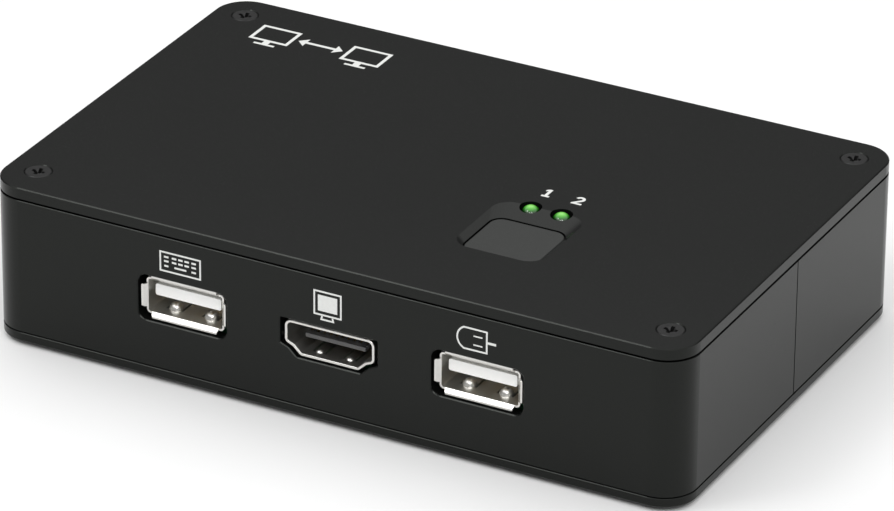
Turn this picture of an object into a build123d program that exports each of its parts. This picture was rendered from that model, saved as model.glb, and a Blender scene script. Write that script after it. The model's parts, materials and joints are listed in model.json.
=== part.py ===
"""Switch that shares a keyboard, mouse and display between two computers (millimetres).

X runs along the front panel, Y from the front to the back, and Z up. The origin is on the
supporting surface, under the middle of the case. The shared devices plug in at the front,
at -Y, and the two computers at the back, at +Y.
"""
from build123d import *
from math import asin, degrees
import os

os.makedirs("parts", exist_ok=True)

LOW = (Align.CENTER, Align.CENTER, Align.MIN)
HIGH = (Align.CENTER, Align.CENTER, Align.MAX)
OUTWARDS = (Align.MIN, Align.CENTER, Align.MIN)

# ---- case ---------------------------------------------------------------------------
case_width = 115.0
case_depth = 74.0
corner_radius = 5.3
wall = 2.0
foot_height = 0.8
bottom_cover_thickness = 1.48
top_cover_thickness = 1.83
shell_height = 21.91
bottom_seam_gap = 0.18
top_seam_gap = 0.3
seam_chamfer = 0.08
top_edge_chamfer = 0.15
bottom_edge_chamfer = 0.2
split_y = 0.9
split_gap = 0.26

bottom_face = foot_height
bottom_cover_top = bottom_face + bottom_cover_thickness
shell_low = bottom_cover_top + bottom_seam_gap
shell_high = shell_low + shell_height
top_cover_low = shell_high + top_seam_gap
top_face = top_cover_low + top_cover_thickness
front_face = -case_depth / 2
rear_face = case_depth / 2
underside = Plane(origin=(0, 0, bottom_face), x_dir=(1, 0, 0), z_dir=(0, 0, -1))
inner_width = case_width - 2 * wall
inner_depth = case_depth - 2 * wall

# locating rim of each cover, standing just inside the walls
rim_thickness = 1.2
rim_height = 1.2
rim_clearance = 0.2
rim_corner_break = 10.0
rim_split_break = 14.0

# overlap of the two half shells inside the side walls
lap_thickness = 1.1
lap_clearance = 0.1
lap_forward = 3.5
lap_root = 5.0

# ---- screws and feet ----------------------------------------------------------------
screw_x = 52.3
screw_y = 31.15
screw_middle_y = 0.42
boss_radius = 3.8
thread_radius = 1.2
thread_hole_radius = 1.25
thread_hole_depth = 6.5
clearance_hole_radius = 1.4
flat_head_radius = 2.04
flat_head_height = 0.84
countersink_radius = 2.22
head_sink = 0.03
head_rim = 0.12
case_screw_length = 6.0
cross_length = 2.1
cross_width = 0.6
cross_depth = 0.8
cross_taper = 8
cross_cone_radius = 0.75
foot_radius = 4.0
foot_round = 0.3
foot_x = 46.0
foot_y = 26.5

# ---- main board ---------------------------------------------------------------------
board_width = 96.0
board_depth = 68.0
board_thickness = 1.6
board_low = 8.74
board_top = board_low + board_thickness
board_corner_radius = 1.5
standoff_x = 44.0
standoff_y = 27.0
standoff_radius = 2.75
standoff_stud_radius = 1.7
standoff_stud_length = 0.9
standoff_hole_depth = 5.0
stud_hole_radius = 1.75
stud_hole_depth = 1.0
pan_head_radius = 2.25
pan_head_height = 1.5
pan_head_round = 0.5
board_screw_shank = 5.5
lead_through = 0.7

# ---- ports --------------------------------------------------------------------------
sheet = 0.3
contact_sheet = 0.2
leg_width = 1.6
block_clearance = 0.05
tongue_corner = 0.3
spring_slot = 0.3
low_dimple_cut = 0
high_dimple_cut = 30
panel_centre_x = 0.2
port_spacing = 24.45
display_x = 0.3
panel_edge_chamfer = 0.15

# USB type A socket: cavity of the shell, flared mouth and tongue
usb_a_z = 13.68
usb_a_width = 12.5
usb_a_height = 5.34
usb_a_depth = 14.0
usb_a_corner = 0.35
usb_a_throat = 1.03
usb_a_flare = 0.52
usb_a_side_flare = 0.58
usb_a_lip_length = 11.3
usb_a_lip_tip_length = 11.0
usb_a_side_lip_length = 3.9
usb_a_side_lip_tip_length = 3.6
usb_a_lip_corner = 0.2
usb_a_cutout_width = 15.0
usb_a_cutout_height = 7.45
usb_a_cutout_corner = 1.5
usb_a_tongue_width = 11.1
usb_a_tongue_thickness = 1.84
usb_a_tongue_above_middle = 0.72
usb_a_tongue_depth = 1.95
usb_a_block_depth = 10.5
usb_a_contact_x = (-3.5, -1.0, 1.0, 3.5)
usb_a_contact_width = 1.0
usb_a_contact_start = 2.85
usb_a_tail_width = 0.6
usb_a_leg_depth = 10.0
usb_a_spring_x = 3.0
usb_a_spring_width = 2.2
usb_a_spring_start = 3.1
usb_a_spring_end = 7.5
dimple_radius = 1.1
dimple_depth = 3.65

# HDMI type A socket: half outline of the cavity, measured from its middle
hdmi_z = 13.2
hdmi_recess = 0.3
hdmi_wall = 0.45
hdmi_half_width = 7.0
hdmi_half_height = 2.3
hdmi_shoulder_z = -0.65
hdmi_shoulder_x = 5.85
hdmi_shoulder_drop = 0.5
hdmi_foot_x = 4.65
hdmi_top_corner = 0.7
hdmi_side_corner = 0.45
hdmi_depth = 11.5
hdmi_cutout_gap = 0.25
hdmi_cutout_slack = 0.38
hdmi_cutout_corner = 0.3
hdmi_tongue_width = 9.9
hdmi_tongue_thickness = 0.62
hdmi_tongue_drop = 0.15
hdmi_tongue_depth = 1.9
hdmi_block_depth = 9.0
hdmi_pitch = 1.0
hdmi_contact_width = 0.35
hdmi_contact_thickness = 0.15
hdmi_contact_start = 3.0
hdmi_foot_length = 1.1
hdmi_leg_depths = (3.5, 9.5)
hdmi_rim_round = 0.15
hdmi_spring_x = 2.5
hdmi_spring_width = 1.6
hdmi_spring_start = 1.6
hdmi_spring_end = 5.5
hdmi_dimple_depth = 1.9
hdmi_dimple_radius = 0.75

# USB type B socket
usb_b_width = 8.45
usb_b_height = 7.78
usb_b_body_width = 12.0
usb_b_body_height = 10.8
usb_b_corner_cut = 1.9
usb_b_depth = 16.0
usb_b_floor_depth = 9.0
usb_b_tongue_width = 5.6
usb_b_tongue_height = 3.18
usb_b_tongue_depth = 1.6
usb_b_contact_x = 1.25
usb_b_contact_start = 2.4
usb_b_tail_row = 2.0
usb_b_leg_depth = 11.0
usb_b_floor_opening = 8.0
usb_b_body_corner = 0.4
usb_b_cutout_gap = 0.3
usb_b_cutout_corner = 0.6
usb_b_z = board_top + usb_b_body_height / 2

# the two computers' pairs of ports on the rear panel
pair_pitch = 47.0
pair_centre_offset = 9.5

# ---- select button and its switch ---------------------------------------------------
button_x = 19.66
button_y = -15.92
button_width = 12.1
button_depth = 11.56
button_corner = 2.0
button_gap = 0.18
button_edge_round = 0.25
button_drop = 0.65
button_flange_margin = 0.9
button_flange_thickness = 1.2
button_flange_clearance = 0.1
button_boss_radius = 2.8
button_boss_drop = 1.6
button_top = top_face - button_drop
flange_top = top_cover_low - button_flange_clearance
flange_low = flange_top - button_flange_thickness

recess_left_margin = 1.25
recess_right_margin = 0.8
recess_back_margin = 4.2
recess_front_margin = 0.1
recess_corner = 3.0
recess_depth = 0.6

switch_size = 6.0
switch_height = 3.5
switch_cover_thickness = 0.2
switch_floor = 0.8
switch_cavity_clearance = 0.15
switch_cover_clearance = 0.1
switch_terminal_pitch = 4.5
switch_terminal_width = 0.7
switch_terminal_height = 4.0
plunger_radius = 1.75
plunger_flange_radius = 2.0
plunger_clearance = 0.05
plunger_low = board_top + 1.6
plunger_into_button = 1.2
dome_radius = 1.9
dome_sheet = 0.1
dome_clearance = 0.05

# ---- indicator lamps ----------------------------------------------------------------
lamp_spacing = 5.08
lamp_middle_x = 19.77
lamp_y = -5.95
lamp_rise = 0.2
lamp_hole_radius = 1.7
lamp_radius = 1.5
lamp_height = 5.3
lamp_flange_radius = 1.9
lamp_flange_height = 1.0
lamp_low = top_face + lamp_rise - lamp_height
lamp_positions = [
    (lamp_middle_x - lamp_spacing / 2, lamp_y),
    (lamp_middle_x + lamp_spacing / 2, lamp_y),
]
lead_pitch = 2.54
lead_size = 0.5
lead_hole_radius = 0.4
lamp_spacer_radius = 2.3

# ---- parts soldered to the board ----------------------------------------------------
video_chip_at = (0.0, -7.0)
video_chip_size = 12.0
usb_chip_at = (-22.0, 4.0)
usb_chip_size = 9.0
controller_at = (26.0, 9.0)
controller_size = 7.0
chip_thickness = 1.4
chip_standoff = 0.1
lead_row_pitch = 0.8
lead_row_width = 0.35
lead_reach = 1.0
lead_rise = 0.8
lead_sheet = 0.15
chip_edge_chamfer = 0.15
chip_mark_inset = 1.2
chip_mark_radius = 0.4
chip_mark_depth = 0.1
crystal_at = (-36.0, 4.0)
crystal_length = 11.0
crystal_width = 4.7
crystal_height = 3.5
crystal_base = 0.6
crystal_step = 0.8
crystal_round = 0.4
can_positions = [(40.0, -14.0), (40.0, -5.0), (-41.0, -14.0)]
can_radius = 3.15
can_height = 5.8
can_base_size = 6.6
can_base_height = 0.9
can_round = 0.4
regulator_at = (39.0, 6.0)
regulator_body = (6.5, 3.5, 1.6)
regulator_tab_width = 3.0
regulator_lead_width = 0.7
regulator_lead_pitch = 2.3
regulator_lead_reach = 1.6
inductor_at = (11.0, 10.0)
inductor_size = 6.0
inductor_height = 3.2
inductor_corner = 1.0
inductor_chamfer = 0.5
small_part = (1.6, 0.8, 0.6)
small_part_spacing = (3.0, 2.0)
ceramic_at = (-1.0, 6.5)
ceramic_grid = (5, 2)
resistor_at = (-22.0, -7.5)
resistor_grid = (3, 4)


def save(piece, label):
    """Label one finished piece and write it to its own file."""
    piece.part.label = label
    export_step(piece.part, f"parts/{label}.step")


def front_plane(x, z):
    """Plane on the front panel, seen from outside: local Y is up and local Z points out."""
    return Plane(origin=(x, front_face, z), x_dir=(1, 0, 0), z_dir=(0, -1, 0))


def rear_plane(x, z):
    """The same on the rear panel, so that local X runs towards -X."""
    return Plane(origin=(x, rear_face, z), x_dir=(-1, 0, 0), z_dir=(0, 1, 0))


keyboard_at = front_plane(panel_centre_x - port_spacing, usb_a_z)
mouse_at = front_plane(panel_centre_x + port_spacing, usb_a_z)
display_at = front_plane(display_x, hdmi_z)
computer_video = [
    rear_plane(pair_pitch / 2 + pair_centre_offset, hdmi_z),
    rear_plane(-pair_pitch / 2 + pair_centre_offset, hdmi_z),
]
computer_usb = [
    rear_plane(pair_pitch / 2 - pair_centre_offset, usb_b_z),
    rear_plane(-pair_pitch / 2 - pair_centre_offset, usb_b_z),
]


# ======================================================================================
# Outlines used by more than one piece
# ======================================================================================
def hdmi_polygon():
    """HDMI cavity with sharp corners, its lower corners stepped in."""
    shoulder_low = hdmi_shoulder_z - hdmi_shoulder_drop
    with BuildSketch() as outline:
        with BuildLine():
            Polyline(
                (-hdmi_half_width, hdmi_half_height),
                (hdmi_half_width, hdmi_half_height),
                (hdmi_half_width, hdmi_shoulder_z),
                (hdmi_shoulder_x, shoulder_low),
                (hdmi_foot_x, -hdmi_half_height),
                (-hdmi_foot_x, -hdmi_half_height),
                (-hdmi_shoulder_x, shoulder_low),
                (-hdmi_half_width, hdmi_shoulder_z),
                close=True,
            )
        make_face()
    return outline.sketch


def hdmi_outline(grow):
    """HDMI cavity with rounded corners, grown outwards by grow."""
    with BuildSketch() as outline:
        add(hdmi_polygon())
        levels = outline.vertices().group_by(Axis.Y)
        fillet(levels[-1], hdmi_top_corner)
        levels = outline.vertices().group_by(Axis.Y)
        fillet(levels[0] + levels[2], hdmi_side_corner)
        offset(amount=grow)
    return outline.sketch


def hdmi_cutout():
    """Hole in a panel for an HDMI socket, with more room at its ends than above and below."""
    with BuildSketch() as hole:
        with Locations((-hdmi_cutout_slack, 0), (hdmi_cutout_slack, 0)):
            add(hdmi_polygon())
        offset(amount=hdmi_wall + hdmi_cutout_gap, kind=Kind.INTERSECTION)
        fillet(hole.vertices(), hdmi_cutout_corner)
    return hole.sketch


def usb_b_opening():
    """Opening of a USB type B socket: a rectangle with its two upper corners cut off."""
    with BuildSketch() as outline:
        Rectangle(usb_b_width, usb_b_height)
        chamfer(outline.vertices().group_by(Axis.Y)[-1], usb_b_corner_cut)
    return outline.sketch


def rim_outline():
    """Locating rim: a ring inside the walls, broken at the corners and at the side splits."""
    width = inner_width - 2 * rim_clearance
    depth = inner_depth - 2 * rim_clearance
    with BuildSketch() as rim:
        Rectangle(width, depth)
        Rectangle(width - 2 * rim_thickness, depth - 2 * rim_thickness, mode=Mode.SUBTRACT)
        with GridLocations(inner_width, inner_depth, 2, 2):
            Rectangle(2 * rim_corner_break, 2 * rim_corner_break, mode=Mode.SUBTRACT)
        Rectangle(case_width, rim_split_break, mode=Mode.SUBTRACT)
    return rim.sketch


# ======================================================================================
# Case
# ======================================================================================
def half_shell(low_y, high_y, boss_y):
    """Walls of the case between two Y positions, with the two corner bosses at boss_y."""
    with BuildPart() as half:
        with BuildSketch(Plane.XY.offset(shell_low)):
            RectangleRounded(case_width, case_depth, corner_radius)
        extrude(amount=shell_height)
        levels = half.edges().group_by(Axis.Z)
        chamfer(levels[0] + levels[-1], seam_chamfer)
        with BuildSketch(Plane.XY.offset(shell_low)):
            RectangleRounded(inner_width, inner_depth, corner_radius - wall)
        extrude(amount=shell_height, mode=Mode.SUBTRACT)
        with BuildSketch(Plane.XY.offset(shell_low)):
            with Locations((0, (low_y + high_y) / 2)):
                Rectangle(case_width, high_y - low_y)
        extrude(amount=shell_height, mode=Mode.INTERSECT)
        # the bosses stand out of the walls by the seam, so the covers seat on them
        with BuildSketch(Plane.XY.offset(bottom_cover_top)):
            with Locations((-screw_x, boss_y), (screw_x, boss_y)):
                Circle(boss_radius)
        extrude(amount=top_cover_low - bottom_cover_top)
        with Locations((-screw_x, boss_y, top_cover_low), (screw_x, boss_y, top_cover_low)):
            Cylinder(thread_hole_radius, thread_hole_depth, align=HIGH, mode=Mode.SUBTRACT)
        with Locations((-screw_x, boss_y, bottom_cover_top), (screw_x, boss_y, bottom_cover_top)):
            Cylinder(thread_hole_radius, thread_hole_depth, align=LOW, mode=Mode.SUBTRACT)
    return half.part


def opening_rims(panel):
    """Edges where the openings meet the outer face of a panel."""
    return ShapeList([edge for wire in panel.inner_wires() for edge in wire.edges()])


with BuildPart() as front_shell:
    add(half_shell(front_face, split_y - split_gap / 2, screw_middle_y - screw_y))
    for at in (keyboard_at, mouse_at):
        with BuildSketch(at):
            RectangleRounded(usb_a_cutout_width, usb_a_cutout_height, usb_a_cutout_corner)
    with BuildSketch(display_at):
        add(hdmi_cutout())
    extrude(amount=-wall, mode=Mode.SUBTRACT)
    chamfer(opening_rims(front_shell.faces().sort_by(Axis.Y)[0]), panel_edge_chamfer)
save(front_shell, "front_shell")

with BuildPart() as rear_shell:
    add(half_shell(split_y + split_gap / 2, rear_face, screw_middle_y + screw_y))
    for at in computer_video:
        with BuildSketch(at):
            add(hdmi_cutout())
    for at in computer_usb:
        with BuildSketch(at):
            RectangleRounded(
                usb_b_body_width + 2 * usb_b_cutout_gap,
                usb_b_body_height + 2 * usb_b_cutout_gap,
                usb_b_cutout_corner,
            )
    extrude(amount=-wall, mode=Mode.SUBTRACT)
    chamfer(opening_rims(rear_shell.faces().sort_by(Axis.Y)[-1]), panel_edge_chamfer)
    # laps that run forward inside the front half's side walls and close the split
    for side in (-1, 1):
        lap_x = side * (inner_width / 2 - lap_thickness)
        lap_width = lap_thickness - lap_clearance
        with BuildSketch(Plane.XY.offset(shell_low)):
            with Locations((lap_x + side * lap_thickness / 2, split_y + split_gap / 2 + lap_root / 2)):
                Rectangle(lap_thickness, lap_root)
            with Locations((lap_x + side * lap_width / 2, split_y)):
                Rectangle(lap_width, 2 * lap_forward)
        extrude(amount=shell_height)
save(rear_shell, "rear_shell")


def cover_plate(low, thickness, rim_level):
    """Flat plate with the case's outline, and its locating rim at rim_level."""
    with BuildPart() as plate:
        with BuildSketch(Plane.XY.offset(low)):
            RectangleRounded(case_width, case_depth, corner_radius)
        extrude(amount=thickness)
        with BuildSketch(Plane.XY.offset(rim_level)):
            add(rim_outline())
        extrude(amount=rim_height)
    return plate.part


def outline_edges(plate, place):
    """Edges round a cover's lower (place 0) or upper (place 1) large face."""
    large_faces = plate.faces().filter_by(Axis.Z).sort_by(SortBy.AREA)[-2:].sort_by(Axis.Z)
    return large_faces[place].outer_wire().edges()


with BuildPart() as top_cover:
    add(cover_plate(top_cover_low, top_cover_thickness, top_cover_low - rim_height))
    chamfer(outline_edges(top_cover, 1), top_edge_chamfer)
    chamfer(outline_edges(top_cover, 0), seam_chamfer)
    # finger recess: its slopes run down to the edge of the button's hole
    hole_width = button_width + 2 * button_gap
    hole_depth = button_depth + 2 * button_gap
    recess_width = hole_width + recess_left_margin + recess_right_margin
    recess_length = hole_depth + recess_back_margin + recess_front_margin
    recess_x = button_x + (recess_right_margin - recess_left_margin) / 2
    recess_y = button_y + (recess_back_margin - recess_front_margin) / 2
    with BuildSketch(Plane.XY.offset(top_face)):
        with Locations((recess_x, recess_y)):
            RectangleRounded(recess_width, recess_length, recess_corner)
    with BuildSketch(Plane.XY.offset(top_face - recess_depth)):
        with Locations((button_x, button_y)):
            RectangleRounded(hole_width, hole_depth, button_corner + button_gap)
    loft(ruled=True, mode=Mode.SUBTRACT)
    with BuildSketch(Plane.XY.offset(top_cover_low)):
        with Locations((button_x, button_y)):
            RectangleRounded(hole_width, hole_depth, button_corner + button_gap)
        with Locations(lamp_positions):
            Circle(lamp_hole_radius)
    extrude(amount=top_cover_thickness, mode=Mode.SUBTRACT)
    with Locations(Plane.XY.offset(top_face)):
        with Locations((0, screw_middle_y)):
            with GridLocations(2 * screw_x, 2 * screw_y, 2, 2):
                CounterSinkHole(clearance_hole_radius, countersink_radius, counter_sink_angle=90)
save(top_cover, "top_cover")

with BuildPart() as bottom_cover:
    add(cover_plate(bottom_face, bottom_cover_thickness, bottom_cover_top))
    chamfer(outline_edges(bottom_cover, 0), bottom_edge_chamfer)
    chamfer(outline_edges(bottom_cover, 1), seam_chamfer)
    with Locations(underside):
        with Locations((0, -screw_middle_y)):
            with GridLocations(2 * screw_x, 2 * screw_y, 2, 2):
                CounterSinkHole(clearance_hole_radius, countersink_radius, counter_sink_angle=90)
    with BuildSketch(Plane.XY.offset(bottom_cover_top)):
        with GridLocations(2 * standoff_x, 2 * standoff_y, 2, 2):
            Circle(stud_hole_radius)
    extrude(amount=-stud_hole_depth, mode=Mode.SUBTRACT)
save(bottom_cover, "bottom_cover")


def countersunk_screws(face, middle_y):
    """Four countersunk cross-head screws, their heads just below a cover's outer face."""
    heads = face.offset(-head_sink)
    heads.origin += heads.y_dir * middle_y
    with BuildPart() as screws:
        with Locations(heads):
            with GridLocations(2 * screw_x, 2 * screw_y, 2, 2):
                Cylinder(thread_radius, case_screw_length, align=HIGH)
                Cone(flat_head_radius, flat_head_radius - head_rim, head_rim, align=HIGH)
                with Locations((0, 0, -head_rim)):
                    Cone(thread_radius, flat_head_radius, flat_head_height, align=HIGH)
        with BuildSketch(heads):
            with GridLocations(2 * screw_x, 2 * screw_y, 2, 2):
                Rectangle(cross_length, cross_width)
                Rectangle(cross_width, cross_length)
        extrude(amount=-cross_depth, taper=cross_taper, mode=Mode.SUBTRACT)
        with Locations(heads):
            with GridLocations(2 * screw_x, 2 * screw_y, 2, 2):
                Cone(
                    cross_width / 2, cross_cone_radius, cross_cone_radius - cross_width / 2,
                    align=HIGH, mode=Mode.SUBTRACT,
                )
    return screws


save(countersunk_screws(Plane.XY.offset(top_face), screw_middle_y), "top_cover_screws")
save(countersunk_screws(underside, -screw_middle_y), "bottom_cover_screws")

with BuildPart() as rubber_feet:
    with GridLocations(2 * foot_x, 2 * foot_y, 2, 2):
        Cylinder(foot_radius, foot_height, align=LOW)
    fillet(rubber_feet.edges().group_by(Axis.Z)[0], foot_round)
save(rubber_feet, "rubber_feet")


# ======================================================================================
# USB type A sockets, front panel
# ======================================================================================
def sprung_fingers(at, half_height, reach, width, start, end, thickness):
    """Free three sides of the fingers in the upper and lower walls of a socket's shell."""
    for side in (-1, 1):
        with BuildSketch(inner_wall(at, side, half_height)) as slots:
            with Locations((-reach, -side * (start + end) / 2), (reach, -side * (start + end) / 2)):
                Rectangle(width + 2 * spring_slot, end - start)
            middle = -side * ((start + end) / 2 - spring_slot)
            with Locations((-reach, middle), (reach, middle)):
                Rectangle(width, end - start, mode=Mode.SUBTRACT)
        extrude(slots.sketch, amount=-thickness, mode=Mode.SUBTRACT)


def dimples(at, half_height, reach, depth, radius, low_cut):
    """Contact dimples that stand into the cavity on the fingers, the upper ones shallow."""
    for side, cut_angle in ((-1, low_cut), (1, high_dimple_cut)):
        with Locations(inner_wall(at, side, half_height)):
            with Locations((-reach, -side * depth), (reach, -side * depth)):
                Sphere(radius, arc_size1=cut_angle, align=LOW)


def inner_wall(at, side, half_height):
    """Plane on the inside of a socket's upper (side 1) or lower (side -1) wall, facing inwards."""
    origin = at.origin + at.y_dir * (side * half_height)
    return Plane(origin=origin, x_dir=at.x_dir, z_dir=at.y_dir * -side)


def usb_a_shell(at):
    """Sheet-metal shell: a flat tube with four flared lips, sprung fingers and legs."""
    throat = at.offset(-usb_a_throat)
    leg_height = at.origin.Z - board_low + lead_through
    with BuildPart() as shell:
        with BuildSketch(throat):
            RectangleRounded(
                usb_a_width + 2 * sheet, usb_a_height + 2 * sheet, usb_a_corner + sheet
            )
            RectangleRounded(usb_a_width, usb_a_height, usb_a_corner, mode=Mode.SUBTRACT)
        extrude(amount=-(usb_a_depth - usb_a_throat))
        for side in (-1, 1):
            rise = side * (usb_a_height + sheet) / 2
            with BuildSketch(throat):
                with Locations((0, rise)):
                    Rectangle(usb_a_lip_length, sheet)
            with BuildSketch(throat.offset(usb_a_flare)):
                with Locations((0, rise + side * usb_a_flare)):
                    Rectangle(usb_a_lip_tip_length, sheet)
            loft()
            reach = side * (usb_a_width + sheet) / 2
            with BuildSketch(throat):
                with Locations((reach, 0)):
                    Rectangle(sheet, usb_a_side_lip_length)
            with BuildSketch(throat.offset(usb_a_side_flare)):
                with Locations((reach + side * usb_a_side_flare, 0)):
                    Rectangle(sheet, usb_a_side_lip_tip_length)
            loft()
            with Locations(at):
                with Locations((reach, 0, -usb_a_leg_depth)):
                    Box(sheet, leg_height, leg_width, align=(Align.CENTER, Align.MAX, Align.CENTER))
        tips = shell.edges().filter_by(lambda edge: throat.to_local_coords(edge.center()).Z > sheet)
        fillet(tips.filter_by(lambda edge: edge.length < 2 * sheet), usb_a_lip_corner)
        sprung_fingers(
            at, usb_a_height / 2, usb_a_spring_x, usb_a_spring_width,
            usb_a_spring_start, usb_a_spring_end, sheet,
        )
        dimples(
            at, usb_a_height / 2, usb_a_spring_x, dimple_depth, dimple_radius, low_dimple_cut
        )
    return shell


def usb_a_contacts(at):
    """Four contact strips under the tongue, bent down behind it through the board."""
    tongue_low = usb_a_tongue_above_middle - usb_a_tongue_thickness / 2
    strip_length = usb_a_depth - usb_a_contact_start
    tail_height = at.origin.Z + tongue_low - board_low + lead_through
    with BuildPart(at) as contacts:
        for x in usb_a_contact_x:
            with Locations((x, tongue_low, -usb_a_contact_start)):
                Box(
                    usb_a_contact_width, contact_sheet, strip_length + contact_sheet,
                    align=(Align.CENTER, Align.MAX, Align.MAX),
                )
            with Locations((x, tongue_low, -usb_a_depth)):
                Box(
                    usb_a_tail_width, tail_height, contact_sheet,
                    align=(Align.CENTER, Align.MAX, Align.MAX),
                )
    return contacts


def usb_a_insulator(at, contacts):
    """White tongue and the block that closes the back of the shell."""
    with BuildPart() as insulator:
        with BuildSketch(at.offset(-usb_a_tongue_depth)):
            with Locations((0, usb_a_tongue_above_middle)):
                RectangleRounded(usb_a_tongue_width, usb_a_tongue_thickness, tongue_corner)
        extrude(amount=-(usb_a_depth - usb_a_tongue_depth))
        with BuildSketch(at.offset(-usb_a_block_depth)):
            RectangleRounded(
                usb_a_width - 2 * block_clearance,
                usb_a_height - 2 * block_clearance,
                usb_a_corner,
            )
        extrude(amount=-(usb_a_depth - usb_a_block_depth))
        add(contacts.part, mode=Mode.SUBTRACT)
    return insulator


# ======================================================================================
# HDMI type A sockets, one in front and two behind
# ======================================================================================
def hdmi_shell(at):
    """Shell with a rounded rim, sprung fingers above and below, and two pairs of legs."""
    leg_height = at.origin.Z - board_low + lead_through
    leg_x = hdmi_half_width + hdmi_wall / 2
    with BuildPart() as shell:
        with BuildSketch(at):
            add(hdmi_outline(hdmi_wall))
            add(hdmi_outline(0), mode=Mode.SUBTRACT)
        extrude(amount=-hdmi_depth)
        mouth_edges = shell.faces().sort_by(Axis(at.origin, at.z_dir))[-1].edges()
        fillet(mouth_edges, hdmi_rim_round)
        for x in (-leg_x, leg_x):
            for depth in hdmi_leg_depths:
                with Locations(at):
                    with Locations((x, 0, -depth)):
                        Box(
                            hdmi_wall, leg_height, leg_width,
                            align=(Align.CENTER, Align.MAX, Align.CENTER),
                        )
        sprung_fingers(
            at, hdmi_half_height, hdmi_spring_x, hdmi_spring_width,
            hdmi_spring_start, hdmi_spring_end, hdmi_wall,
        )
        dimples(
            at, hdmi_half_height, hdmi_spring_x, hdmi_dimple_depth, hdmi_dimple_radius,
            high_dimple_cut,
        )
    return shell


def hdmi_contacts(at):
    """Nineteen contacts let into both faces of the tongue, bent down behind it onto the board."""
    reach = hdmi_tongue_thickness / 2
    strip_length = hdmi_depth - hdmi_contact_start
    foot_drop = at.origin.Z - board_top
    with BuildPart(at) as contacts:
        for side, count in ((1, 10), (-1, 9)):
            y = side * reach - hdmi_tongue_drop
            x_places = [(number - (count - 1) / 2) * hdmi_pitch for number in range(count)]
            with Locations([(x, y, -hdmi_contact_start) for x in x_places]):
                Box(
                    hdmi_contact_width, hdmi_contact_thickness,
                    strip_length + hdmi_contact_thickness,
                    align=(Align.CENTER, Align.MAX if side > 0 else Align.MIN, Align.MAX),
                )
            with Locations([(x, y, -hdmi_depth) for x in x_places]):
                Box(
                    hdmi_contact_width, y + foot_drop, hdmi_contact_thickness,
                    align=(Align.CENTER, Align.MAX, Align.MAX),
                )
            with Locations([(x, -foot_drop, -hdmi_depth) for x in x_places]):
                Box(
                    hdmi_contact_width, hdmi_contact_thickness, hdmi_foot_length,
                    align=(Align.CENTER, Align.MIN, Align.MAX),
                )
    return contacts


def hdmi_tongue(at, contacts):
    """Tongue in the middle of the cavity, and the block that closes the back of the shell."""
    with BuildPart() as tongue:
        with BuildSketch(at.offset(-hdmi_tongue_depth)):
            with Locations((0, -hdmi_tongue_drop)):
                Rectangle(hdmi_tongue_width, hdmi_tongue_thickness)
        extrude(amount=-(hdmi_depth - hdmi_tongue_depth))
        with BuildSketch(at.offset(-hdmi_block_depth)):
            add(hdmi_outline(-block_clearance))
        extrude(amount=-(hdmi_depth - hdmi_block_depth))
        add(contacts.part, mode=Mode.SUBTRACT)
    return tongue


# ======================================================================================
# USB type B sockets, rear panel
# ======================================================================================
def usb_b_shell(at):
    """Metal box with a front plate, whose opening has its two upper corners cut off."""
    with BuildPart() as shell:
        with BuildSketch(at):
            RectangleRounded(usb_b_body_width, usb_b_body_height, usb_b_body_corner)
        extrude(amount=-usb_b_depth)
        with BuildSketch(at.offset(-sheet)):
            Rectangle(usb_b_body_width - 2 * sheet, usb_b_body_height - 2 * sheet)
        extrude(amount=-(usb_b_depth - sheet), mode=Mode.SUBTRACT)
        with BuildSketch(at):
            add(usb_b_opening())
        extrude(amount=-sheet, mode=Mode.SUBTRACT)
        # the floor of the shell is open where the contacts turn down
        with Locations(at):
            with Locations((0, -usb_b_body_height / 2, -usb_b_depth)):
                Box(
                    usb_b_floor_opening, sheet, usb_b_depth - usb_b_leg_depth - leg_width,
                    align=(Align.CENTER, Align.MIN, Align.MIN), mode=Mode.SUBTRACT,
                )
        for x in (-usb_b_body_width / 2, usb_b_body_width / 2):
            side = Align.MIN if x < 0 else Align.MAX
            with Locations(at):
                with Locations((x, 0, -usb_b_leg_depth)):
                    Box(
                        sheet, at.origin.Z - board_low + lead_through, leg_width,
                        align=(side, Align.MAX, Align.CENTER),
                    )
    return shell


def usb_b_contacts(at):
    """Two contacts above and two below the tongue, with tails in two rows."""
    with BuildPart(at) as contacts:
        for side, tail_depth in ((1, usb_b_depth), (-1, usb_b_depth - usb_b_tail_row)):
            y = side * usb_b_tongue_height / 2
            level = Align.MIN if side > 0 else Align.MAX
            strip_length = tail_depth - usb_b_contact_start
            tail_height = at.origin.Z + y - board_low + lead_through
            with Locations([(x, y, -usb_b_contact_start) for x in (-usb_b_contact_x, usb_b_contact_x)]):
                Box(
                    usb_a_contact_width, contact_sheet, strip_length + contact_sheet,
                    align=(Align.CENTER, level, Align.MAX),
                )
            with Locations([(x, y, -tail_depth) for x in (-usb_b_contact_x, usb_b_contact_x)]):
                Box(
                    usb_a_tail_width, tail_height, contact_sheet,
                    align=(Align.CENTER, Align.MAX, Align.MAX),
                )
    return contacts


def usb_b_insulator(at, contacts):
    """Block inside the shell, with the plug's cavity and the square tongue in its middle."""
    with BuildPart() as insulator:
        with BuildSketch(at.offset(-sheet)):
            Rectangle(
                usb_b_body_width - 2 * sheet - 2 * block_clearance,
                usb_b_body_height - 2 * sheet - 2 * block_clearance,
            )
        extrude(amount=-(usb_b_depth - sheet))
        with BuildSketch(at.offset(-sheet)):
            add(usb_b_opening())
        extrude(amount=-(usb_b_floor_depth - sheet), mode=Mode.SUBTRACT)
        with BuildSketch(at.offset(-usb_b_tongue_depth)):
            Rectangle(usb_b_tongue_width, usb_b_tongue_height)
        extrude(amount=-(usb_b_floor_depth - usb_b_tongue_depth))
        add(contacts.part, mode=Mode.SUBTRACT)
    return insulator


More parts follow.
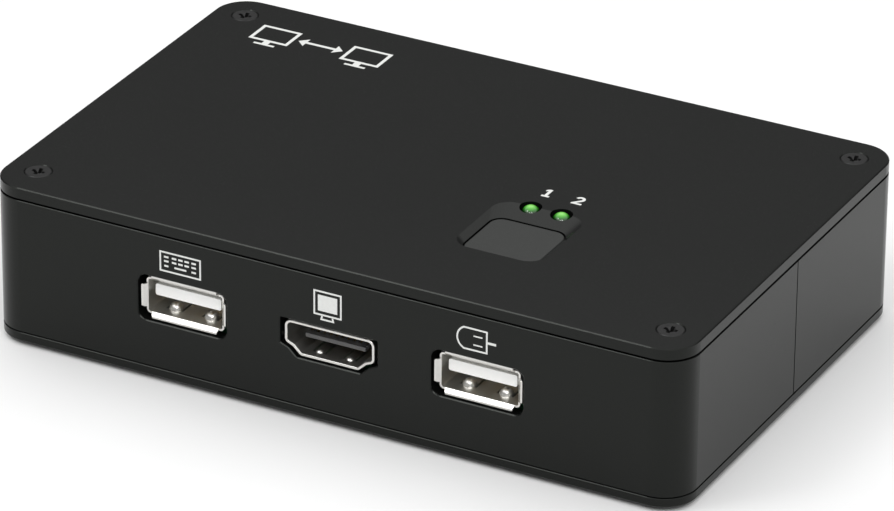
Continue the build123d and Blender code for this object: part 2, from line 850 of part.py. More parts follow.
soldered_pieces = []
for name, at in (("keyboard_port", keyboard_at), ("mouse_port", mouse_at)):
    shell = usb_a_shell(at)
    contacts = usb_a_contacts(at)
    save(shell, f"{name}_shell")
    save(contacts, f"{name}_contacts")
    save(usb_a_insulator(at, contacts), f"{name}_insulator")
    soldered_pieces += [shell, contacts]

video_ports = [("display_port", display_at)]
video_ports += [(f"video_in_{number}", at) for number, at in enumerate(computer_video, start=1)]
for name, at in video_ports:
    mouth = at.offset(-hdmi_recess)
    shell = hdmi_shell(mouth)
    contacts = hdmi_contacts(mouth)
    save(shell, f"{name}_shell")
    save(contacts, f"{name}_contacts")
    save(hdmi_tongue(mouth, contacts), f"{name}_tongue")
    soldered_pieces += [shell]

for number, at in enumerate(computer_usb, start=1):
    shell = usb_b_shell(at)
    contacts = usb_b_contacts(at)
    save(shell, f"usb_in_{number}_shell")
    save(contacts, f"usb_in_{number}_contacts")
    save(usb_b_insulator(at, contacts), f"usb_in_{number}_insulator")
    soldered_pieces += [shell, contacts]


# ======================================================================================
# Select button and its switch
# ======================================================================================
with BuildPart() as button_cap:
    with BuildSketch(Plane.XY.offset(flange_low)):
        with Locations((button_x, button_y)):
            RectangleRounded(button_width, button_depth, button_corner)
    extrude(amount=button_top - flange_low)
    fillet(button_cap.edges().group_by(Axis.Z)[-1], button_edge_round)
    flange_width = button_width + 2 * button_flange_margin
    flange_depth = button_depth + 2 * button_flange_margin
    with BuildSketch(Plane.XY.offset(flange_low)):
        with Locations((button_x, button_y)):
            RectangleRounded(flange_width, flange_depth, button_corner)
    extrude(amount=button_flange_thickness)
    with Locations((button_x, button_y, flange_low)):
        Cylinder(button_boss_radius, button_boss_drop, align=HIGH)
    with Locations((button_x, button_y, flange_low - button_boss_drop)):
        Cylinder(
            plunger_radius + plunger_clearance, plunger_into_button, align=LOW, mode=Mode.SUBTRACT
        )
save(button_cap, "button_cap")

switch_at = (button_x, button_y, board_top)
switch_top = board_top + switch_height
cavity_floor = board_top + switch_floor
cover_low = switch_top - switch_cover_thickness

with BuildPart() as switch_plunger:
    plunger_top = flange_low - button_boss_drop + plunger_into_button
    with Locations((button_x, button_y, plunger_low)):
        Cylinder(plunger_radius, plunger_top - plunger_low, align=LOW)
        Cylinder(
            plunger_flange_radius, cover_low - plunger_low - button_flange_clearance, align=LOW
        )
save(switch_plunger, "switch_plunger")

with BuildPart() as switch_base:
    with Locations(switch_at):
        Box(switch_size, switch_size, switch_height - switch_cover_thickness, align=LOW)
    with Locations((button_x, button_y, cavity_floor)):
        Cylinder(
            plunger_flange_radius + switch_cavity_clearance,
            switch_height,
            align=LOW,
            mode=Mode.SUBTRACT,
        )
save(switch_base, "switch_base")

with BuildPart() as switch_cover:
    with BuildSketch(Plane.XY.offset(cover_low)):
        with Locations((button_x, button_y)):
            Rectangle(switch_size, switch_size)
            Circle(plunger_radius + switch_cover_clearance, mode=Mode.SUBTRACT)
    extrude(amount=switch_cover_thickness)
save(switch_cover, "switch_cover")


def dome_cap(radius, rise, mode):
    """Shallow cap of a sphere that stands on the floor of the switch's cavity."""
    ball_radius = (radius ** 2 + rise ** 2) / (2 * rise)
    base_latitude = degrees(asin((ball_radius - rise) / ball_radius))
    with Locations((button_x, button_y, cavity_floor)):
        Sphere(ball_radius, arc_size1=base_latitude, align=LOW, mode=mode)


with BuildPart() as switch_dome:
    dome_rise = plunger_low - cavity_floor - dome_clearance
    dome_cap(dome_radius, dome_rise, Mode.ADD)
    dome_cap(dome_radius - dome_sheet, dome_rise - dome_sheet, Mode.SUBTRACT)
save(switch_dome, "switch_dome")

with BuildPart() as switch_terminals:
    with Locations((button_x, button_y, board_low - lead_through)):
        with GridLocations(switch_size + contact_sheet, switch_terminal_pitch, 2, 2):
            Box(contact_sheet, switch_terminal_width, switch_terminal_height, align=LOW)
save(switch_terminals, "switch_terminals")
soldered_pieces += [switch_terminals]


# ======================================================================================
# Indicator lamps
# ======================================================================================
for number, (x, y) in enumerate(lamp_positions, start=1):
    with BuildPart() as lamp:
        with Locations((x, y, lamp_low)):
            Cylinder(lamp_flange_radius, lamp_flange_height, align=LOW)
            Cylinder(lamp_radius, lamp_height - lamp_radius, align=LOW)
        with Locations((x, y, top_face + lamp_rise - lamp_radius)):
            Sphere(lamp_radius, arc_size1=0, align=LOW)
    save(lamp, f"lamp_{number}")

with BuildPart() as lamp_leads:
    with Locations([(x, y, board_low - lead_through) for x, y in lamp_positions]):
        with GridLocations(lead_pitch, lead_pitch, 2, 1):
            Box(lead_size, lead_size, lamp_low - board_low + lead_through, align=LOW)
save(lamp_leads, "lamp_leads")
soldered_pieces += [lamp_leads]

with BuildPart() as lamp_spacers:
    with BuildSketch(Plane.XY.offset(board_top)):
        with Locations(lamp_positions):
            Circle(lamp_spacer_radius)
            with GridLocations(lead_pitch, lead_pitch, 2, 1):
                Circle(lead_hole_radius, mode=Mode.SUBTRACT)
    extrude(amount=lamp_low - board_top)
save(lamp_spacers, "lamp_spacers")


# ======================================================================================
# Main board, its fixings and the parts soldered to it
# ======================================================================================
with BuildPart() as main_board:
    with BuildSketch(Plane.XY.offset(board_low)):
        RectangleRounded(board_width, board_depth, board_corner_radius)
        with GridLocations(2 * standoff_x, 2 * standoff_y, 2, 2):
            Circle(clearance_hole_radius, mode=Mode.SUBTRACT)
    extrude(amount=board_thickness)
    for piece in soldered_pieces:
        add(piece.part, mode=Mode.SUBTRACT)
save(main_board, "main_board")

with BuildPart() as board_standoffs:
    with GridLocations(2 * standoff_x, 2 * standoff_y, 2, 2):
        with Locations((0, 0, bottom_cover_top)):
            Cylinder(standoff_radius, board_low - bottom_cover_top, align=LOW)
            Cylinder(standoff_stud_radius, standoff_stud_length, align=HIGH)
        with Locations((0, 0, board_low)):
            Cylinder(thread_hole_radius, standoff_hole_depth, align=HIGH, mode=Mode.SUBTRACT)
save(board_standoffs, "board_standoffs")

with BuildPart() as board_screws:
    with GridLocations(2 * standoff_x, 2 * standoff_y, 2, 2):
        with Locations((0, 0, board_top)):
            Cylinder(pan_head_radius, pan_head_height, align=LOW)
            Cylinder(thread_radius, board_screw_shank, align=HIGH)
    fillet(board_screws.edges().group_by(Axis.Z)[-1], pan_head_round)
    with BuildSketch(Plane.XY.offset(board_top + pan_head_height)):
        with GridLocations(2 * standoff_x, 2 * standoff_y, 2, 2):
            Rectangle(cross_length, cross_width)
            Rectangle(cross_width, cross_length)
    extrude(amount=-cross_depth, taper=cross_taper, mode=Mode.SUBTRACT)
save(board_screws, "board_screws")


def chip_body(centre, size):
    """Square chip package standing on its leads, with the dot that marks its first lead."""
    with BuildPart() as body:
        with Locations((*centre, board_top + chip_standoff)):
            Box(size, size, chip_thickness, align=LOW)
        chamfer(body.edges().group_by(Axis.Z)[-1], chip_edge_chamfer)
        mark = (size / 2 - chip_mark_inset) * Vector(-1, 1)
        package_top = board_top + chip_standoff + chip_thickness
        with Locations((centre[0] + mark.X, centre[1] + mark.Y, package_top)):
            Cylinder(chip_mark_radius, chip_mark_depth, align=HIGH, mode=Mode.SUBTRACT)
    return body


chips = (
    ("video_switch_chip", video_chip_at, video_chip_size),
    ("usb_switch_chip", usb_chip_at, usb_chip_size),
    ("controller_chip", controller_at, controller_size),
)
for label, centre, size in chips:
    save(chip_body(centre, size), label)

with BuildPart() as chip_leads:
    for _, centre, size in chips:
        count = int((size - lead_row_pitch) / lead_row_pitch)
        with Locations((*centre, board_top)):
            with PolarLocations(size / 2, 4):
                with GridLocations(lead_row_pitch, lead_row_pitch, 1, count):
                    Box(lead_sheet, lead_row_width, lead_rise, align=OUTWARDS)
                    Box(lead_reach, lead_row_width, lead_sheet, align=OUTWARDS)
save(chip_leads, "chip_leads")

with BuildPart() as crystal:
    with BuildSketch(Plane.XY.offset(board_top)):
        with Locations(crystal_at):
            SlotOverall(crystal_length, crystal_width, rotation=90)
    extrude(amount=crystal_base)
    with BuildSketch(Plane.XY.offset(board_top + crystal_base)):
        with Locations(crystal_at):
            SlotOverall(crystal_length - crystal_step, crystal_width - crystal_step, rotation=90)
    extrude(amount=crystal_height - crystal_base)
    fillet(crystal.edges().group_by(Axis.Z)[-1], crystal_round)
save(crystal, "crystal")

with BuildPart() as capacitor_bases:
    with BuildSketch(Plane.XY.offset(board_top)):
        with Locations(can_positions):
            Rectangle(can_base_size, can_base_size)
    extrude(amount=can_base_height)
save(capacitor_bases, "capacitor_bases")

with BuildPart() as capacitor_cans:
    with BuildSketch(Plane.XY.offset(board_top + can_base_height)):
        with Locations(can_positions):
            Circle(can_radius)
    extrude(amount=can_height)
    fillet(capacitor_cans.edges().group_by(Axis.Z)[-1], can_round)
save(capacitor_cans, "capacitor_cans")

with BuildPart() as regulator:
    with Locations((*regulator_at, board_top + chip_standoff)):
        Box(*regulator_body, align=LOW)
    chamfer(regulator.edges().group_by(Axis.Z)[-1], chip_edge_chamfer)
save(regulator, "regulator")

with BuildPart() as regulator_leads:
    with Locations((*regulator_at, board_top)):
        with Locations((0, regulator_body[1] / 2)):
            Box(
                regulator_tab_width, regulator_lead_reach, lead_sheet,
                align=(Align.CENTER, Align.MIN, Align.MIN),
            )
        with Locations((0, -regulator_body[1] / 2)):
            with GridLocations(regulator_lead_pitch, regulator_lead_pitch, 3, 1):
                Box(
                    regulator_lead_width, regulator_lead_reach, lead_sheet,
                    align=(Align.CENTER, Align.MAX, Align.MIN),
                )
save(regulator_leads, "regulator_leads")

with BuildPart() as inductor:
    with BuildSketch(Plane.XY.offset(board_top)):
        with Locations(inductor_at):
            RectangleRounded(inductor_size, inductor_size, inductor_corner)
    extrude(amount=inductor_height)
    chamfer(inductor.edges().group_by(Axis.Z)[-1], inductor_chamfer)
save(inductor, "inductor")


def small_parts(centre, counts):
    """Grid of small two-ended chip components round one centre."""
    with BuildPart() as grid:
        with Locations((*centre, board_top)):
            with GridLocations(*small_part_spacing, *counts):
                Box(*small_part, align=LOW)
    return grid


save(small_parts(ceramic_at, ceramic_grid), "ceramic_capacitors")
save(small_parts(resistor_at, resistor_grid), "resistors")
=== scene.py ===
"""Looks of the switch that shares a keyboard, mouse and display: camera, studio, finishes and print.

Lengths are in metres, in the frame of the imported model. Printed marks are drawn in millimetres
and scaled where they are placed.
"""
import json
import math

import bmesh
import bpy
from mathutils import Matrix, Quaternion, Vector


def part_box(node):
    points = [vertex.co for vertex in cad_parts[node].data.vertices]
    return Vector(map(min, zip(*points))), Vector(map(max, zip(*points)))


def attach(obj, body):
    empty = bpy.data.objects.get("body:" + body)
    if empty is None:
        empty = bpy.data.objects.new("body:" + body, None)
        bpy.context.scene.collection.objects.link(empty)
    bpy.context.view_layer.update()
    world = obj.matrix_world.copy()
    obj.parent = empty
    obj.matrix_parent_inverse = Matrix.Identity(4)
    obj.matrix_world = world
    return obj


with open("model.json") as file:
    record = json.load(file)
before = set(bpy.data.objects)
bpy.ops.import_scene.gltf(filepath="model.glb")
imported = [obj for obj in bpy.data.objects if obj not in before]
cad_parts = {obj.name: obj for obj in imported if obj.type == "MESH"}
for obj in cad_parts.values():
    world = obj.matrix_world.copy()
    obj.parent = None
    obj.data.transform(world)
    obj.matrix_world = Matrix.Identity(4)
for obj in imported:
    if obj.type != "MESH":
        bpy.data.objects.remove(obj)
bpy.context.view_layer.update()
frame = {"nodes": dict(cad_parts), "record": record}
nodes = frame["nodes"]
scene = bpy.context.scene
mm = 0.001


# ======================================================================================
# Camera
# ======================================================================================
camera_azimuth = math.radians(27.684)
camera_elevation = math.radians(27.229)
camera_roll = math.radians(0.487)
camera_distance = 0.95529
camera_target = Vector((0.000468, -0.000412, 0.011765))
camera_lens = 256.55


def make_camera():
    """Long lens, a little to the right of the front panel and looking down at it."""
    away = Vector((
        math.sin(camera_azimuth) * math.cos(camera_elevation),
        -math.cos(camera_azimuth) * math.cos(camera_elevation),
        math.sin(camera_elevation),
    ))
    data = bpy.data.cameras.new("camera")
    data.lens = camera_lens
    data.sensor_width = 36.0
    data.clip_start = 0.05
    data.clip_end = 20.0
    camera = bpy.data.objects.new("camera", data)
    camera.location = camera_target + away * camera_distance
    camera.rotation_mode = "QUATERNION"
    level = (-away).to_track_quat("-Z", "Y")
    camera.rotation_quaternion = level @ Quaternion((0, 0, 1), camera_roll)
    scene.collection.objects.link(camera)
    scene.camera = camera


make_camera()
scene.view_settings.view_transform = "Standard"


# ======================================================================================
# Materials
# ======================================================================================
paint_tint = (0.95, 1.0, 0.94, 1.0)
lamp_cap_height = 0.0007
# Strength of the glow painted onto the lamp lens, which stands in for light on it.
lamp_painted_glow_strength = 0.25


class Finish:
    """A Principled material with helpers that wire procedural patterns into it."""

    def __init__(self, name, roughness, metallic=0.0, **sockets):
        self.material = bpy.data.materials.new(name)
        self.material.use_nodes = True
        self.tree = self.material.node_tree
        self.shader = self.tree.nodes["Principled BSDF"]
        self.shader.inputs["Roughness"].default_value = roughness
        self.shader.inputs["Metallic"].default_value = metallic
        for socket, value in sockets.items():
            self.shader.inputs[socket.replace("_", " ")].default_value = value
        self.place = self.tree.nodes.new("ShaderNodeTexCoord").outputs["Object"]

    def stretched(self, factors):
        """Object coordinates scaled by factors along X, Y and Z."""
        mapping = self.tree.nodes.new("ShaderNodeMapping")
        mapping.inputs["Scale"].default_value = factors
        self.tree.links.new(self.place, mapping.inputs["Vector"])
        return mapping.outputs["Vector"]

    def noise(self, size, detail=2.0, roughness=0.5, place=None):
        """Noise whose features are about size metres across."""
        texture = self.tree.nodes.new("ShaderNodeTexNoise")
        texture.inputs["Scale"].default_value = 1.0 / size
        texture.inputs["Detail"].default_value = detail
        texture.inputs["Roughness"].default_value = roughness
        self.tree.links.new(place or self.place, texture.inputs["Vector"])
        return texture.outputs["Fac"]

    def spread(self, value, low, high, out_low=0.0, out_high=1.0):
        """Values between low and high spread over out_low to out_high."""
        ranger = self.tree.nodes.new("ShaderNodeMapRange")
        limits = {"From Min": low, "From Max": high, "To Min": out_low, "To Max": out_high}
        for socket, limit in limits.items():
            ranger.inputs[socket].default_value = limit
        self.tree.links.new(value, ranger.inputs["Value"])
        return ranger.outputs["Result"]

    def colour(self, value, dark, light):
        """Base colour between dark and light, following value."""
        ramp = self.tree.nodes.new("ShaderNodeValToRGB")
        ramp.color_ramp.elements[0].color = (*dark, 1.0)
        ramp.color_ramp.elements[1].color = (*light, 1.0)
        self.tree.links.new(value, ramp.inputs["Fac"])
        self.tree.links.new(ramp.outputs["Color"], self.shader.inputs["Base Color"])

    def graded(self, value, colours, socket):
        """Colour that passes through evenly spaced colours as value goes from 0 to 1."""
        ramp = self.tree.nodes.new("ShaderNodeValToRGB")
        stops = ramp.color_ramp.elements
        while len(stops) < len(colours):
            stops.new(1.0)
        for place, (stop, colour) in enumerate(zip(stops, colours)):
            stop.position = place / (len(colours) - 1)
            stop.color = (*colour, 1.0)
        self.tree.links.new(value, ramp.inputs["Fac"])
        self.tree.links.new(ramp.outputs["Color"], self.shader.inputs[socket])

    def varied_roughness(self, value, low, high):
        """Roughness between low and high, following value."""
        self.tree.links.new(self.spread(value, 0.3, 0.7, low, high), self.shader.inputs["Roughness"])

    def relief(self, value, depth):
        """Bump of the given depth in metres, following value."""
        bump = self.tree.nodes.new("ShaderNodeBump")
        bump.inputs["Strength"].default_value = 1.0
        bump.inputs["Distance"].default_value = depth
        self.tree.links.new(value, bump.inputs["Height"])
        self.tree.links.new(bump.outputs["Normal"], self.shader.inputs["Normal"])

    def height(self, low, high):
        """Height over the ground, spread from 0 at low to 1 at high."""
        axes = self.tree.nodes.new("ShaderNodeSeparateXYZ")
        self.tree.links.new(self.place, axes.inputs["Vector"])
        return self.spread(axes.outputs["Z"], low, high)


def case_paint():
    """Satin black coat over fine blasted metal."""
    finish = Finish("case_paint", 0.24, Specular_IOR_Level=0.22, Specular_Tint=paint_tint)
    cloud = finish.noise(0.02, detail=4.0)
    grain = finish.noise(0.00022, detail=3.0, roughness=0.7)
    finish.colour(cloud, (0.0034, 0.0036, 0.0034), (0.0046, 0.0048, 0.0046))
    finish.varied_roughness(grain, 0.2, 0.28)
    finish.relief(grain, 0.000003)
    return finish.material


def screw_black():
    """Black oxide on steel, a little worn bright on the cross."""
    finish = Finish("screw_black", 0.35, metallic=0.6)
    patch = finish.noise(0.0006, detail=3.0)
    finish.colour(patch, (0.012, 0.012, 0.012), (0.035, 0.035, 0.035))
    finish.varied_roughness(patch, 0.28, 0.42)
    finish.relief(finish.noise(0.0001), 0.000004)
    return finish.material


def button_plastic():
    """Dark grey moulded plastic with a fine spark-eroded texture."""
    finish = Finish("button_plastic", 0.55)
    cloud = finish.noise(0.004, detail=3.0)
    grain = finish.noise(0.00018, detail=3.0, roughness=0.65)
    finish.colour(cloud, (0.018, 0.0195, 0.018), (0.0215, 0.023, 0.0215))
    finish.varied_roughness(grain, 0.5, 0.62)
    finish.relief(grain, 0.00001)
    return finish.material


def nickel():
    """Bright nickel on formed sheet, with faint rolling marks along the drawn direction."""
    finish = Finish("nickel", 0.28, metallic=1.0)
    marks = finish.noise(0.0006, detail=3.0, place=finish.stretched((1.0, 0.15, 1.0)))
    finish.colour(marks, (0.66, 0.65, 0.62), (0.76, 0.75, 0.72))
    finish.varied_roughness(marks, 0.29, 0.38)
    finish.relief(marks, 0.000001)
    return finish.material


def tinned():
    """Dull tin on leads and terminals."""
    finish = Finish("tinned", 0.35, metallic=1.0)
    patch = finish.noise(0.0008, detail=3.0)
    finish.colour(patch, (0.52, 0.52, 0.5), (0.7, 0.7, 0.68))
    finish.varied_roughness(patch, 0.28, 0.42)
    return finish.material


def gold():
    """Thin gold on contacts and brass standoffs."""
    finish = Finish("gold", 0.25, metallic=1.0)
    patch = finish.noise(0.0007, detail=3.0)
    finish.colour(patch, (0.72, 0.5, 0.2), (0.86, 0.65, 0.32))
    finish.varied_roughness(patch, 0.2, 0.32)
    return finish.material


def can_aluminium():
    """Drawn aluminium can, brushed round its axis by handling."""
    finish = Finish("can_aluminium", 0.3, metallic=1.0)
    streaks = finish.noise(0.0005, detail=3.0, place=finish.stretched((1.0, 1.0, 0.1)))
    finish.colour(streaks, (0.6, 0.6, 0.61), (0.76, 0.76, 0.78))
    finish.varied_roughness(streaks, 0.24, 0.38)
    return finish.material


def moulded(name, dark, light, roughness, grain_depth=0.000008, **sockets):
    """Moulded plastic with a faint cloud in its colour and a fine grain."""
    finish = Finish(name, roughness, **sockets)
    finish.colour(finish.noise(0.003, detail=3.0), dark, light)
    grain = finish.noise(0.0002, detail=2.0)
    finish.varied_roughness(grain, roughness - 0.06, roughness + 0.06)
    finish.relief(grain, grain_depth)
    return finish.material


def board_laminate():
    """Green solder mask over the weave of the glass cloth."""
    finish = Finish("board_laminate", 0.35, Coat_Weight=0.3)
    weave = finish.tree.nodes.new("ShaderNodeTexWave")
    weave.inputs["Scale"].default_value = 900.0
    weave.inputs["Distortion"].default_value = 0.6
    finish.tree.links.new(finish.place, weave.inputs["Vector"])
    finish.colour(finish.noise(0.002, detail=4.0), (0.006, 0.06, 0.022), (0.01, 0.095, 0.035))
    finish.relief(weave.outputs["Fac"], 0.000006)
    return finish.material


def lamp_lens_painted_light():
    """Green tinted epoxy with painted light: a painted glow, pale as a painted highlight at the
    crown and dark as painted shade where it enters the cover.
    """
    finish = Finish("lamp_lens_painted_light", 0.1, Coat_Weight=0.5)
    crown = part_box("lamp_1")[1].z
    level = finish.height(crown - lamp_cap_height, crown)
    # Painted shading by height: base colour dark as painted shade where the lens enters the cover,
    # pale as a painted highlight at the crown.
    body = [
        (0.001, 0.015, 0.001), (0.005, 0.06, 0.002), (0.02, 0.18, 0.008),
        (0.06, 0.34, 0.025), (0.17, 0.54, 0.09),
    ]
    finish.graded(level, body, "Base Color")
    # Painted glow: emission graded the same way by height, a glow painted in for light and shade on
    # the lens.
    painted_glow = [
        (0.0, 0.01, 0.0), (0.004, 0.07, 0.002), (0.02, 0.22, 0.005),
        (0.1, 0.45, 0.03), (0.3, 0.7, 0.14),
    ]
    finish.graded(level, painted_glow, "Emission Color")
    finish.shader.inputs["Emission Strength"].default_value = lamp_painted_glow_strength
    finish.varied_roughness(finish.noise(0.0006, detail=2.0), 0.06, 0.12)
    return finish.material


def print_white():
    """White pad-printed ink, very slightly uneven."""
    finish = Finish("print_white", 0.5)
    finish.colour(finish.noise(0.0005, detail=3.0), (0.66, 0.67, 0.65), (0.78, 0.79, 0.77))
    finish.relief(finish.noise(0.00015), 0.000004)
    return finish.material


slot_finishes = {
    "case": case_paint(),
    "screws": screw_black(),
    "feet": moulded("foot_rubber", (0.012, 0.012, 0.012), (0.02, 0.02, 0.02), 0.75, 0.00003),
    "nickel": nickel(),
    "usb_plastic": moulded("socket_white", (0.93, 0.93, 0.91), (0.96, 0.96, 0.94), 0.4),
    "tongue_plastic": moulded("tongue_grey", (0.075, 0.075, 0.075), (0.095, 0.095, 0.095), 0.4),
    "contacts": gold(),
    "button": button_plastic(),
    "lamp": lamp_lens_painted_light(),
    "board": board_laminate(),
    "black_plastic": moulded("component_black", (0.012, 0.012, 0.012), (0.02, 0.02, 0.02), 0.5),
    "tinned": tinned(),
    "cans": can_aluminium(),
    "ceramic_parts": moulded("ceramic_tan", (0.3, 0.2, 0.11), (0.4, 0.28, 0.16), 0.45),
    "resistor_parts": moulded("resistor_black", (0.01, 0.01, 0.01), (0.016, 0.016, 0.016), 0.25),
}


def finish_cad_nodes():
    """Give every node the finish of its material slot."""
    for entry in frame["record"]["subparts"]:
        mesh = nodes[entry["node"]].data
        mesh.materials.clear()
        mesh.materials.append(slot_finishes[entry["material_slot"]])


finish_cad_nodes()


# ======================================================================================
# Printed marks
# ======================================================================================
ink_above = 0.015
ink_below = 0.005
line = 0.27
weld_distance = 0.000001
ink = print_white()
top_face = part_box("top_cover")[1].z
front_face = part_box("front_shell")[0].y


def stroke(points, width, closed=False):
    """Quads that cover a line of constant width along a path, with mitred corners."""
    path = [Vector(point) for point in points]
    last = len(path) - 1
    edges = []
    for number, point in enumerate(path):
        arrives = point - path[number - 1] if closed or number > 0 else path[1] - path[0]
        leaves = path[(number + 1) % len(path)] - point if closed or number < last else arrives
        arrives.normalize()
        leaves.normalize()
        along = (arrives + leaves).normalized()
        across = Vector((-along.y, along.x))
        reach = width / 2 / across.dot(Vector((-leaves.y, leaves.x)))
        edges.append((point + across * reach, point - across * reach))
    ends = edges + edges[:1] if closed else edges
    return [[a[0], a[1], b[1], b[0]] for a, b in zip(ends, ends[1:])]


def bar(x, y, length, height):
    """A filled rectangle centred at x, y."""
    return [[
        (x - length / 2, y - height / 2),
        (x + length / 2, y - height / 2),
        (x + length / 2, y + height / 2),
        (x - length / 2, y + height / 2),
    ]]


def frame_outline(x, y, length, height, width):
    """Outline of a rectangle whose outer size is length by height."""
    half_length = (length - width) / 2
    half_height = (height - width) / 2
    corners = [
        (x - half_length, y - half_height),
        (x + half_length, y - half_height),
        (x + half_length, y + half_height),
        (x - half_length, y + half_height),
    ]
    return stroke(corners, width, closed=True)


def arc(x, y, radius, start, end, steps=16):
    """Points along an arc, its angles in degrees."""
    angles = [math.radians(start + (end - start) * step / steps) for step in range(steps + 1)]
    return [(x + radius * math.cos(angle), y + radius * math.sin(angle)) for angle in angles]


def print_mark(name, polygons, origin, right, up, out):
    """Thin raised layer of ink with the shape of the polygons, on the plane through origin."""
    mesh = bmesh.new()
    for polygon in polygons:
        base = origin - out * ink_below * mm
        mesh.faces.new([mesh.verts.new(base + (right * x + up * y) * mm) for x, y in polygon])
    bmesh.ops.remove_doubles(mesh, verts=mesh.verts, dist=weld_distance)
    raised = bmesh.ops.extrude_face_region(mesh, geom=mesh.faces[:])["geom"]
    corners = [piece for piece in raised if isinstance(piece, bmesh.types.BMVert)]
    bmesh.ops.translate(mesh, verts=corners, vec=out * (ink_above + ink_below) * mm)
    bmesh.ops.recalc_face_normals(mesh, faces=mesh.faces)
    data = bpy.data.meshes.new(name)
    mesh.to_mesh(data)
    mesh.free()
    data.materials.append(ink)
    mark = bpy.data.objects.new(name, data)
    scene.collection.objects.link(mark)
    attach(mark, "case")


def print_on_front(name, polygons, x, z):
    """Print on the front panel, centred at x, z in millimetres."""
    origin = Vector((x * mm, front_face, z * mm))
    print_mark(name, polygons, origin, Vector((1, 0, 0)), Vector((0, 0, 1)), Vector((0, -1, 0)))


def print_on_top(name, polygons, x, y):
    """Print on the top cover, centred at x, y in millimetres."""
    origin = Vector((x * mm, y * mm, top_face))
    print_mark(name, polygons, origin, Vector((1, 0, 0)), Vector((0, 1, 0)), Vector((0, 0, 1)))


def keyboard_mark():
    """Keyboard seen from above: outline, two rows of five keys, and a row with the space bar."""
    marks = frame_outline(0, 0, 7.0, 3.35, line)
    key_columns = (-2.35, -1.02, 0.04, 1.1, 2.28)
    for row in (0.8, 0.1):
        for column in key_columns:
            marks += bar(column, row, 0.76, 0.3)
    marks += bar(key_columns[0], -0.68, 0.7, 0.3)
    marks += bar(0.02, -0.68, 2.0, 0.3)
    marks += bar(key_columns[-1], -0.68, 0.76, 0.3)
    return marks


def monitor_mark():
    """Monitor with a filled screen, on a small open foot."""
    marks = frame_outline(0, 0, 4.66, 4.05, line)
    marks += bar(0, 0.02, 3.2, 2.6)
    foot = [(-0.9, -2.07), (-1.05, -2.62), (0.95, -2.62), (0.8, -2.07)]
    marks += stroke(foot, line)
    return marks


def mouse_mark():
    """Mouse lying on its side: rounded back on the left, two buttons and the lead on the right."""
    back = arc(-1.06, 0, 1.9, 115, 245, steps=20)
    body = [(1.83, 1.7)] + back + [(1.83, -1.7)]
    marks = stroke(body, line, closed=True)
    marks += bar(0.4, 0.6, 1.45, 0.22)
    marks += bar(0.4, -0.83, 1.45, 0.22)
    marks += bar(2.66, 0, 1.35, 0.38)
    return marks


def digit_one():
    """Digit 1 with a flag and a foot, 2.5 mm tall, as one outline."""
    return [[
        (-0.62, -1.25), (0.66, -1.25), (0.66, -0.8), (0.27, -0.8), (0.27, 1.25), (-0.15, 1.25),
        (-0.62, 0.95), (-0.62, 0.45), (-0.22, 0.68), (-0.22, -0.8), (-0.62, -0.8),
    ]]


def digit_two():
    """Digit 2, 2.5 mm tall, as one outline: outer bow, foot and inner bow."""
    outer_bow = arc(0, 0.46, 0.79, 168, -40)
    foot = [(-0.13, -0.8), (0.86, -0.8), (0.86, -1.25), (-0.84, -1.25), (-0.84, -0.93)]
    inner_bow = arc(0, 0.46, 0.31, -40, 168)
    return [outer_bow + foot + inner_bow]


def sharing_mark():
    """Two monitors joined by a double arrow, for a switch that two computers share."""
    marks = []
    for side in (-1, 1):
        x = side * 8.0
        marks += frame_outline(x, 0.8, 6.8, 5.2, 0.55)
        marks += bar(x, -2.25, 1.1, 0.9)
        marks += bar(x, -2.95, 3.6, 0.5)
    marks += [[
        (-3.9, 0.8), (-2.5, 2.1), (-2.5, 1.1), (2.5, 1.1), (2.5, 2.1),
        (3.9, 0.8), (2.5, -0.5), (2.5, 0.5), (-2.5, 0.5), (-2.5, -0.5),
    ]]
    return marks


print_on_front("print_keyboard", keyboard_mark(), -24.43, 20.48)
print_on_front("print_monitor", monitor_mark(), 0.2, 20.18)
print_on_front("print_mouse", mouse_mark(), 24.39, 20.55)
print_on_top("print_digit_1", digit_one(), 17.47, -0.85)
print_on_top("print_digit_2", digit_two(), 22.61, -0.85)
print_on_top("print_sharing", sharing_mark(), -36.5, 26.6)


# ======================================================================================
# Studio
# ======================================================================================
def pale_floor():
    """Plain pale paper under the object."""
    finish = Finish("pale_paper", 0.85)
    finish.colour(finish.noise(0.05, detail=3.0), (0.86, 0.86, 0.86), (0.88, 0.88, 0.88))
    sheet = bmesh.new()
    bmesh.ops.create_grid(sheet, x_segments=8, y_segments=8, size=3.0)
    data = bpy.data.meshes.new("floor")
    sheet.to_mesh(data)
    sheet.free()
    data.materials.append(finish.material)
    floor = bpy.data.objects.new("floor", data)
    scene.collection.objects.link(floor)


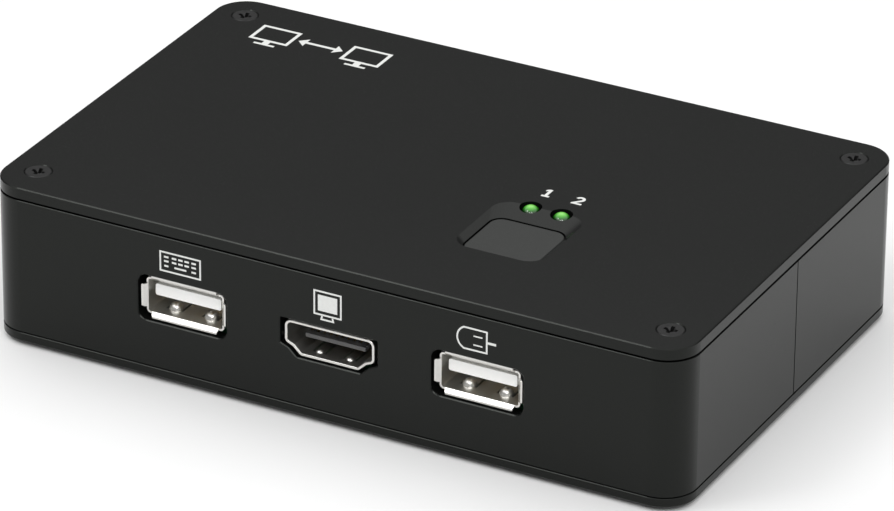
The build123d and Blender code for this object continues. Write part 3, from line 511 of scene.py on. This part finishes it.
def softbox(name, place, aim, width, height, power):
    """Soft rectangular light at place, facing aim."""
    data = bpy.data.lights.new(name, "AREA")
    data.shape = "RECTANGLE"
    data.size = width
    data.size_y = height
    data.energy = power
    light = bpy.data.objects.new(name, data)
    light.location = place
    light.rotation_mode = "QUATERNION"
    light.rotation_quaternion = (Vector(aim) - Vector(place)).to_track_quat("-Z", "Y")
    scene.collection.objects.link(light)


def room_light(levels):
    """Surroundings whose light changes with height: pairs of elevation in degrees and strength."""
    world = bpy.data.worlds.new("room")
    world.use_nodes = True
    tree = world.node_tree
    direction = tree.nodes.new("ShaderNodeTexCoord").outputs["Generated"]
    axes = tree.nodes.new("ShaderNodeSeparateXYZ")
    tree.links.new(direction, axes.inputs["Vector"])
    ramp = tree.nodes.new("ShaderNodeValToRGB")
    tree.links.new(axes.outputs["Z"], ramp.inputs["Fac"])
    brightest = max(strength for elevation, strength in levels)
    stops = ramp.color_ramp.elements
    while len(stops) < len(levels):
        stops.new(1.0)
    for stop, (elevation, strength) in zip(stops, levels):
        stop.position = math.sin(math.radians(elevation))
        stop.color = (*[strength / brightest] * 3, 1.0)
    background = tree.nodes["Background"]
    tree.links.new(ramp.outputs["Color"], background.inputs["Color"])
    background.inputs["Strength"].default_value = brightest
    scene.world = world


def towards(azimuth, elevation, distance):
    """Place at a distance from the case, its azimuth from the front panel towards the right."""
    turn = math.radians(azimuth)
    rise = math.radians(elevation)
    return (
        distance * math.sin(turn) * math.cos(rise),
        -distance * math.cos(turn) * math.cos(rise),
        distance * math.sin(rise),
    )


case_top = (0, 0, 0.02)

pale_floor()
room_light([(0, 0.1), (7, 0.12), (28, 0.22), (37, 1.3), (90, 1.3)])
softbox("key", towards(34, 36, 1.6), (0, 0, 0), 0.6, 0.5, 4.1)
softbox("front_left", towards(-42, 52, 1.5), case_top, 0.35, 0.35, 2.6)
for side, azimuth in (("left", 8), ("right", 44)):
    softbox(f"sparkle_{side}", towards(azimuth, 47, 1.4), case_top, 0.12, 0.12, 1.2)
